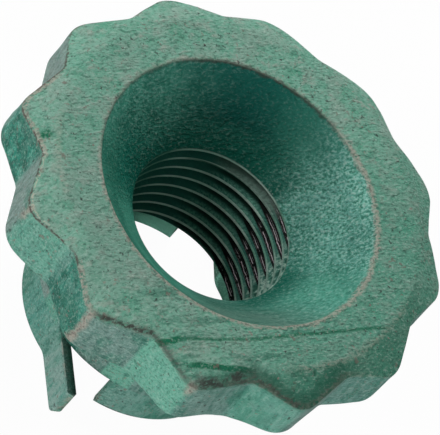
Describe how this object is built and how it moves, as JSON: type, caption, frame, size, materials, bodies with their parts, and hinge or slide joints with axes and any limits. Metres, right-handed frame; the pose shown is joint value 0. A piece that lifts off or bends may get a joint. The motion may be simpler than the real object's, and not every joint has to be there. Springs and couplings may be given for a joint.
{
  "type": "axle nut",
  "caption": "Twelve-point nut with a wide conical seat in its head, a threaded bore and a thin slotted crown whose tabs are bent outwards.",
  "frame": {"origin": "centre of the end of the crown, on the bore's axis", "axes": "+Z along the bore towards the conical seat; +X through one of the head's points"},
  "size_m": [0.053, 0.053, 0.0286],
  "materials": {
    "axle_nut": "mottled grey-green paint over forged steel, satin, worn through to dull metal along the edges"
  },
  "bodies": {
    "root": {"axle_nut": "axle_nut"}
  },
  "joints": []
}
